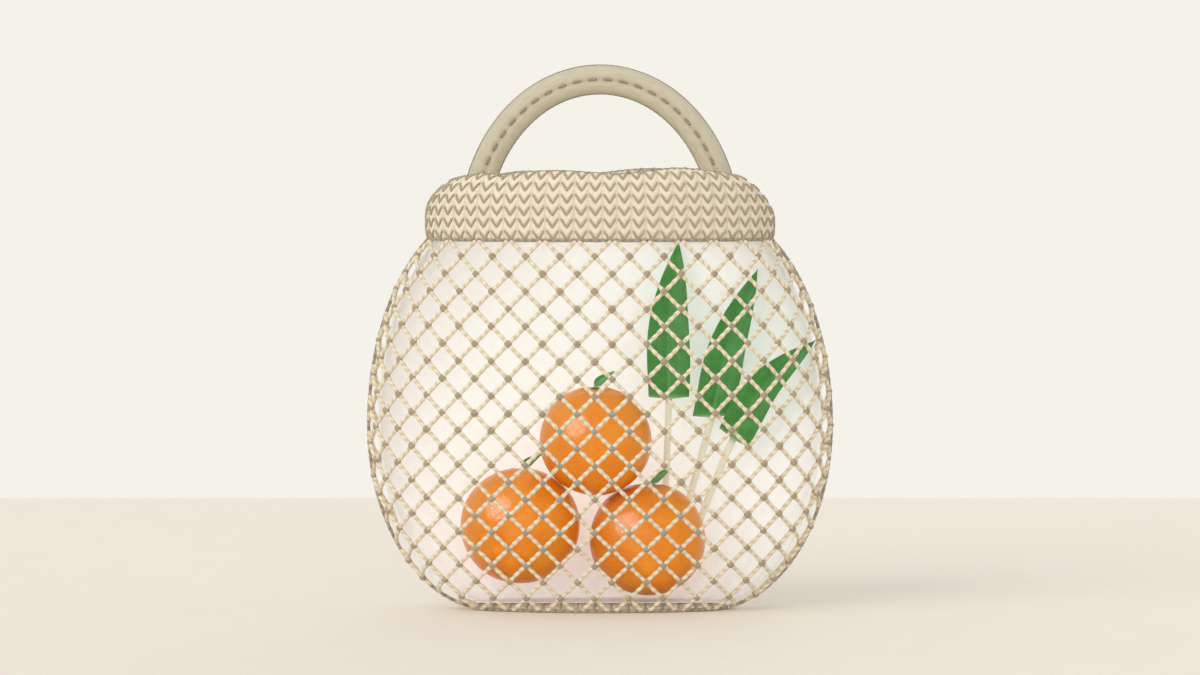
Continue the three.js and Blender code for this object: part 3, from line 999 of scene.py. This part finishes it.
def collar_edging(shape):
    """A cord round the foot of the collar, one along its rim, and one down each of its ends."""
    width = COLLAR_HALF_WIDTH - EDGING_TUCK
    depth = NECK_HALF_DEPTH - EDGING_TUCK
    foot, facing = oval(width, depth, COLLAR_BOTTOM + EDGING_RISE, EDGING_RINGS)
    yield chain_cord(foot, facing, EDGING_RADIUS, closed=True)
    rim = shape.points[np.arange(COLLAR_TURNS), shape.crown] - UP * EDGING_RIM_SINK
    yield chain_cord(rim, UP, EDGING_RADIUS, closed=True)
    for column in (COLLAR_TURNS // 4, COLLAR_TURNS * 3 // 4):
        steps = slice(EDGING_FIRST_STEP, shape.crown[column] + 1)
        yield chain_cord(shape.points[column, steps], shape.outward[column, steps], EDGING_RADIUS)


# The handle

def arch(angle):
    """Points of the handle's middle line at angles from its left foot over the top."""
    return xyz(-HANDLE_HALF_SPAN * np.cos(angle), 0, HANDLE_FOOT + HANDLE_RISE * np.sin(angle))


def handle_path(count, low=0.0, high=1.0):
    """Points at even lengths along the handle's middle, the direction away from its centre at each, and the
    lengths."""
    angle = np.linspace(0, math.pi, FINE_STEPS + 1)
    length = lengths_along(arch(angle))
    wanted = np.linspace(low, high, count) * length[-1]
    at = np.interp(wanted, length, angle)
    away = unit(xyz(-np.cos(at) / HANDLE_HALF_SPAN, 0, np.sin(at) / HANDLE_RISE))
    return arch(at), away, wanted


HANDLE_LENGTH = float(handle_path(2)[2][-1])


def handle_body():
    """The stuffed tube, drawn in along its middle by the running stitch at the front and the back."""
    points, away, length = handle_path(HANDLE_RINGS)
    length = length[:, None]
    angle = full_turn(HANDLE_SIDES)
    across = HANDLE_WIDTH / 2 * plump(np.sin(angle), HANDLE_PLUMPNESS)
    out = HANDLE_DEPTH / 2 * plump(np.cos(angle), HANDLE_PLUMPNESS)
    at_stitch = 1 - 2 * np.abs((length - HANDLE_LENGTH / 2) / DASH_PITCH % 1 - 0.5)
    groove = bell(across, GROOVE_HALF_WIDTH) * between(GROOVE_LEAST, 1, at_stitch)
    puckers = PUCKER_HEIGHT * np.cos(TURN * length / DASH_PITCH)
    puckers = puckers * bell(np.abs(across) - PUCKER_AT, PUCKER_HALF_WIDTH)
    lumps = LUMP_HEIGHT * np.sin(length / LUMP_LENGTH + 1) * np.cos(angle)
    ends = np.maximum(HANDLE_TIP, round_end(np.minimum(length, length[::-1]) / HANDLE_END))
    out = (out + np.sign(out) * (puckers + lumps - GROOVE_DEPTH * groove)) * ends
    sway = 1 + HANDLE_SWAY * np.sin(length / SWAY_LENGTH)
    grid = points[:, None] + away[:, None] * (across * sway * ends)[..., None] + FRONT * out[..., None]
    grain = xyz(length, angle * (HANDLE_WIDTH + HANDLE_DEPTH) / 4, 0)
    # This relief only paints shade into the cloth's colour along the groove
    yield grid, grain, UNSHADED_RELIEF - PAINTED_GROOVE_SHADE * groove, ring_faces(HANDLE_RINGS, HANDLE_SIDES)


def handle_stitches():
    """The running stitch along the middle of the handle, at the front and the back."""
    place = np.abs(np.linspace(-1, 1, DASH_POINTS))
    lift = HANDLE_DEPTH / 2 - GROOVE_DEPTH + DASH_PROUD - DASH_DIP * place**3
    size = DASH_RADIUS * np.maximum(DASH_TIP, round_end((1 - place) / 2 / DASH_END_SHARE))
    half = DASH_LENGTH / 2 / HANDLE_LENGTH
    count = int(HANDLE_LENGTH / DASH_PITCH) - 2
    for number in range(count):
        share = 0.5 + (number - (count - 1) / 2) * DASH_PITCH / HANDLE_LENGTH
        points, _, _ = handle_path(DASH_POINTS, share - half, share + half)
        for facing in (FRONT, -FRONT):
            path = points + facing * lift[:, None]
            yield twisted_cord(path, facing, size, DASH_TWIST, flatness=DASH_FLATNESS)


def handle_piping():
    """A thin cord along the inner edge and the outer edge of the handle."""
    for side, low in ((-1, PIPING_INNER_START), (1, PIPING_OUTER_START)):
        points, away, _ = handle_path(PIPING_RINGS, low, 1 - low)
        path = points + away * side * (HANDLE_WIDTH / 2 - PIPING_SINK)
        yield twisted_cord(path, away * side, PIPING_RADIUS, PIPING_TWIST)


def handle_tacks():
    """The stitches that sew both feet of the handle to the inside of the collar."""
    place = np.linspace(0, 1, TACK_POINTS)[:, None]
    for side in (-1, 1):
        for facing in (FRONT, -FRONT):
            for height in TACK_HEIGHTS:
                start = facing * TACK_FROM[1] + (side * TACK_FROM[0], 0, height)
                end = facing * TACK_TO[1] + (side * TACK_TO[0], 0, height + TACK_RISE)
                path = between(start, end, place) + facing * TACK_BOW * np.sin(math.pi * place)
                yield twisted_cord(path, facing, TACK_RADIUS, TACK_TWIST)


# The fruit and the leaves

def turned(direction):
    """The matrix, for points as rows, that takes +Z to a direction by the shortest turn."""
    up = unit(direction)
    skew = np.array([[0, 0, up[0]], [0, 0, up[1]], [-up[0], -up[1], 0]])
    return (np.eye(3) + skew + skew @ skew / (1 + up[2])).T


def on_fruit(fruit, points):
    """Points round the middle of an orange whose stem is along +Z, at their places in the bag."""
    return np.array(fruit["at"]) + points.reshape(-1, 3) @ turned(fruit["stem"])


def peel_height(radius, polar):
    """The height of an orange over its middle, along its stem, at an angle from the stem."""
    return radius * ORANGE_FLATNESS * np.cos(polar) - STEM_DIMPLE * bell(polar, STEM_DIMPLE_SPREAD)


def orange_body(fruit):
    """An orange: slightly flat, with low lumps, a dimple at the stalk end and furrows that run into it."""
    polar, turn, faces = globe(*ORANGE_GRID, ORANGE_POLE)
    ball = xyz(np.sin(polar) * np.cos(turn), np.sin(polar) * np.sin(turn), np.cos(polar))
    lumps = 0
    for _ in range(PEEL_LUMPS):
        waves = ball @ rng.normal(0, PEEL_LUMP_WAVES, 3) + rng.uniform(0, PEEL_LUMP_SHIFT)
        lumps = lumps + PEEL_LUMP_SHARE * np.sin(waves)
    furrows = np.cos(STEM_FURROWS * turn + STEM_FURROW_SWAY * np.sin(STEM_FURROW_SWAYS * turn))
    furrows = furrows * bell(polar - STEM_FURROW_AT, STEM_FURROW_SPREAD)
    radius = fruit["radius"] + PEEL_LUMP * (lumps - 1) + STEM_FURROW * furrows
    points = ball * radius[..., None]
    points[..., 2] = peel_height(radius, polar)
    near_stem = bell(polar, STEM_TINT_SPREAD) + 0 * turn
    yield on_fruit(fruit, points), points, near_stem, faces


def calyx(fruit):
    """The five-lobed button that holds the stalk, lying in the dimple."""
    polar, turn, faces = globe(*CALYX_GRID, CALYX_POLE)
    lobes = between(1, np.cos(CALYX_LOBES * turn), CALYX_LOBE)
    reach = CALYX_RADIUS * lobes * np.sin(polar)
    height = peel_height(fruit["radius"], reach / fruit["radius"])
    height = height + CALYX_LIFT + CALYX_HALF_HEIGHT * np.cos(polar)
    points = xyz(reach * np.cos(turn), reach * np.sin(turn), height)
    yield on_fruit(fruit, points), points, 0 * reach, faces


def leaf(grid, face, path, half_width_at, slant, thickness, lift, marks):
    """A thin leaf along a path. Its half-width, slant, thickness and lift depend on the share t of the
    path, and the last two also on the place across, from -1 to 1."""

    def place(side, u, v):
        tangent = unit(path(np.minimum(v + LEAF_STEP, 1)) - path(np.maximum(v - LEAF_STEP, 0)))
        sideways = unit(np.cross(tangent, face))
        normal = np.cross(sideways, tangent)
        aside = u * half_width_at(v)
        out = lift(v, u) + side * thickness(v, u) / 2
        ahead = sideways + tangent * slant(v)[..., None]
        return path(v) + ahead * aside[..., None] + normal * out[..., None]

    return thin_solid(*grid, place, marks)


def fruit_leaf(fruit):
    """The small leaf on an orange, with its short stalk standing on the stem dimple."""
    up = unit(fruit["stem"])
    foot = np.array(fruit["at"]) + up * (fruit["radius"] * ORANGE_FLATNESS - STEM_DIMPLE + LEAFLET_FOOT)
    knee = foot + up * (STEM_DIMPLE + LEAFLET_ARCH)
    tip = knee + unit(fruit["leaf"]) * LEAFLET_LENGTH

    def path(t):
        t = t[..., None]
        return (1 - t) ** 2 * foot + 2 * t * (1 - t) * knee + t**2 * tip

    def half_width_at(t):
        share = np.clip((t - LEAFLET_STALK_SHARE) / (1 - LEAFLET_STALK_SHARE), 0, 1)
        swell = (LEAFLET_WIDTH - LEAFLET_STALK) * np.sin(math.pi * share**LEAFLET_SWELL)
        return (LEAFLET_STALK + swell) / 2 - LEAFLET_TAPER * share

    def slant(t):
        return 0 * t

    def thickness(t, u):
        onto = smoothstep(t - LEAFLET_STALK_SHARE, -LEAFLET_SHOULDER, LEAFLET_SHOULDER)
        stalk = LEAFLET_STALK * (1 - LEAFLET_STALK_THINNING * u**2)
        blade = LEAFLET_THICKNESS * (1 - LEAFLET_THINNING * np.abs(u))
        return between(stalk, blade, onto)

    def lift(t, u):
        return LEAFLET_CURL * u**2 * np.sin(math.pi * t)

    def marks(u, v):
        aside = u * half_width_at(v)
        stalk = LEAFLET_STALK_TINT * (1 - smoothstep(v, *LEAFLET_STALK_FADE))
        rib = bell(aside, LEAFLET_RIB) * smoothstep(v, *LEAFLET_RIB_RISE)
        return xyz(aside * 2, v * LEAFLET_LENGTH * 2, stalk), rib

    yield leaf(LEAFLET_GRID, LEAFLET_FACE, path, half_width_at, slant, thickness, lift, marks)


def curve(through, t):
    """Points of a smooth curve through some points, at shares t. Each stretch of it is an even share."""
    points = np.array(through, float)
    points = np.concatenate([[2 * points[0] - points[1]], points, [2 * points[-1] - points[-2]]])
    spacing = np.sqrt(np.linalg.norm(np.diff(points, axis=0), axis=1))[:, None]
    stretches = len(through) - 1
    number = np.minimum((t * stretches).astype(int), stretches - 1)
    share = (t * stretches - number)[..., None]
    before, start, end, after = (points[number + i] for i in range(4))
    first, middle, last = (spacing[number + i] for i in range(3))
    leave = ((start - before) / first - (end - before) / (first + middle) + (end - start) / middle) * middle
    arrive = ((end - start) / middle - (after - start) / (middle + last) + (after - end) / last) * middle
    square = 3 * (end - start) - 2 * leave - arrive
    cube = 2 * (start - end) + leave + arrive
    return start + leave * share + square * share**2 + cube * share**3


def green_leaf(green):
    """One long green leaf: a keeled, veined blade with a straight cut base on a slender pale stalk."""
    through = np.array(green["through"], float)
    blade_start = 1 / (len(through) - 1)
    long = lengths_along(through)[-1]

    def path(t):
        return curve(through, t)

    def blade_share(t):
        return np.clip((t - blade_start) / (1 - blade_start), 0, 1)

    def half_width_at(t):
        share = blade_share(t)
        blade = green["width"] / 2 * (1 - share**BLADE_TAPER) * (BLADE_BASE_SHARE + BLADE_SWELL * share)
        onto = smoothstep(t - blade_start, -SHOULDER, -SHOULDER / 8)
        return np.maximum(BLADE_TIP, between(STALK_WIDTH / 2, blade, onto))

    def slant(t):
        on_blade = smoothstep(t - blade_start, -10 * SHOULDER, -SHOULDER)
        return green["slant"] * on_blade * (1 - smoothstep(blade_share(t), 0, SLANT_SHARE))

    def thickness(t, u):
        onto = smoothstep(t - blade_start, *STALK_JOIN)
        stalk = STALK_THICKNESS * np.sqrt(1 - STALK_FLATNESS * u**2)
        veins = VEIN_DEPTH * np.cos(TURN * u * half_width_at(t) / VEIN_PITCH)
        blade = BLADE_THICKNESS * (1 - BLADE_THINNING * np.abs(u)) + veins * (1 - np.abs(u))
        return between(stalk, blade, onto)

    def lift(t, u):
        share = blade_share(t)
        fold = BLADE_FOLD * half_width_at(t) * np.sqrt(u**2 + BLADE_KEEL)
        ripple = BLADE_RIPPLE * np.sin(TURN * BLADE_RIPPLES * share + 2 * u) * u**2
        return (fold + ripple) * smoothstep(share, 0, BLADE_FLAT_SHARE)

    def marks(u, v):
        aside = u * half_width_at(v)
        stalk = 1 - smoothstep(v - blade_start, *STALK_FADE)
        rib = bell(aside, BLADE_RIB) * smoothstep(v, *BLADE_RIB_RISE)
        return xyz(aside, v * long, stalk), rib * (1 - blade_share(v))

    yield leaf(BLADE_GRID, FRONT, path, half_width_at, slant, thickness, lift, marks)


# The scene

def floor():
    """A plain pale floor that ends a little way behind the bag."""
    made, tree, surface = shader("floor", roughness=0.85, specular=0.1)
    speckle = noise(tree, object_place(tree), scale=30.0, detail=4.0)
    pale = linear("floor")
    deep = tuple(value * FLOOR_SPECKLE for value in pale[:3]) + (1.0,)
    tree.links.new(mixed(tree, speckle, deep, pale), surface.inputs["Base Color"])
    reach = FLOOR_REACH * MM
    back = FLOOR_BACK * MM
    corners = [(-reach, -reach, 0.0), (reach, -reach, 0.0), (reach, back, 0.0), (-reach, back, 0.0)]
    mesh = bpy.data.meshes.new("floor")
    mesh.from_pydata(corners, [], [(0, 1, 2, 3)])
    mesh.materials.append(made)
    placed("floor", mesh)


def looking(at, aim):
    """The place and turn of a camera or light at one point that looks at another, with +Z up."""
    turn = (Vector(aim) - Vector(at)).to_track_quat("-Z", "Y")
    return Matrix.LocRotScale(Vector(at), turn, None)


def soft_light(name, source, strength, shadows=False, highlight=False):
    """Soft even light from one direction, as from a large lamp a long way off. A highlight is only mirrored
    by polished surfaces, and other light isn't."""
    data = bpy.data.lights.new(name, "SUN")
    data.energy = strength
    data.angle = LAMP_ANGLE
    data.use_shadow = shadows
    light = placed(name, data)
    light.matrix_world = looking(source, (0, 0, 0))
    light.visible_glossy = highlight
    light.visible_diffuse = not highlight


def wall_light():
    """The plain wall behind, which also lights the bag softly from all round."""
    world = bpy.data.worlds.new("wall")
    bpy.context.scene.world = world
    world.use_nodes = True
    tree = world.node_tree
    seen = add(tree, "LightPath").outputs["Is Camera Ray"]
    soft_white = (AMBIENT, AMBIENT, AMBIENT, 1.0)
    tree.links.new(mixed(tree, seen, soft_white, "wall"), tree.nodes["Background"].inputs["Color"])


def camera():
    """A camera at the picture's distance and height of view."""
    data = bpy.data.cameras.new("camera")
    data.sensor_width = SENSOR_WIDTH
    data.lens = SENSOR_WIDTH * CAMERA_DISTANCE / PICTURE_WIDTH
    made = placed("camera", data)
    aim = (0.0, 0.0, CAMERA_AIM * MM)
    back = CAMERA_DISTANCE * MM * math.cos(CAMERA_ELEVATION)
    rise = CAMERA_DISTANCE * MM * math.sin(CAMERA_ELEVATION)
    made.matrix_world = looking((0.0, -back, aim[2] + rise), aim)
    bpy.context.scene.camera = made


def dress():
    """Every piece of the bag and its contents, with its material."""
    net = yarn("net")
    knot = yarn("knot")
    edging = yarn("edging")
    for side, place in ((-1, "front"), (1, "back")):
        for slope, way in ((1, "rising"), (-1, "falling")):
            piece(f"net_{place}_{way}", net_cords(side, slope), net, "net", "net_body")
    piece("net_knots", net_knots(), knot, "net", "net_body")
    piece("net_seams", seams(), edging, "net", "net_body")
    thin = cloth("lining", pitch=1.1, strength=0.25, through=0.2)
    sheet = piece("lining", lining(), thin, "lining", "back_lining")

    shape = Collar()
    band = piece("collar_band", collar_body(shape), yarn("collar"), "collar", "collar")
    piece("collar_stitches", collar_stitches(shape), yarn("stitch"), "collar", "collar")
    piece("collar_edging", collar_edging(shape), edging, "collar", "collar")

    dash = yarn("dash")
    cover = cloth("handle", pitch=1.3, strength=0.4)
    stuffed = piece("handle_tube", handle_body(), cover, "handle", "handle")
    piece("handle_stitches", handle_stitches(), dash, "handle", "handle")
    piece("handle_piping", handle_piping(), dash, "handle", "handle")
    piece("handle_tacks", handle_tacks(), dash, "handle", "handle")

    skin = peel()
    green = foliage()
    button = stalk_button()
    for fruit in ORANGES:
        name = fruit["name"]
        piece(f"{name}_peel", orange_body(fruit), skin, "peel", name)
        piece(f"{name}_calyx", calyx(fruit), button, "leaf", name)
        piece(f"{name}_leaflet", fruit_leaf(fruit), green, "leaf", f"{name}_leaf")
    for blade in GREENS:
        piece(f"{blade['name']}_blade", green_leaf(blade), green, "leaf", blade["name"])


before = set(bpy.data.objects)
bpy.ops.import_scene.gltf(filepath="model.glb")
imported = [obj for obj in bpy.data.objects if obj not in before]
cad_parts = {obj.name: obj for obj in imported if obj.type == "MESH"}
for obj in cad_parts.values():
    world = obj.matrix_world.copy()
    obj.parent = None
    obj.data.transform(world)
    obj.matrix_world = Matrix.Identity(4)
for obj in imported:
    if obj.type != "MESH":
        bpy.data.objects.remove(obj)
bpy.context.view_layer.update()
bpy.context.scene.view_settings.view_transform = "Standard"
camera()
wall_light()
floor()
for lamp in LAMPS:
    soft_light(**lamp)
dress()
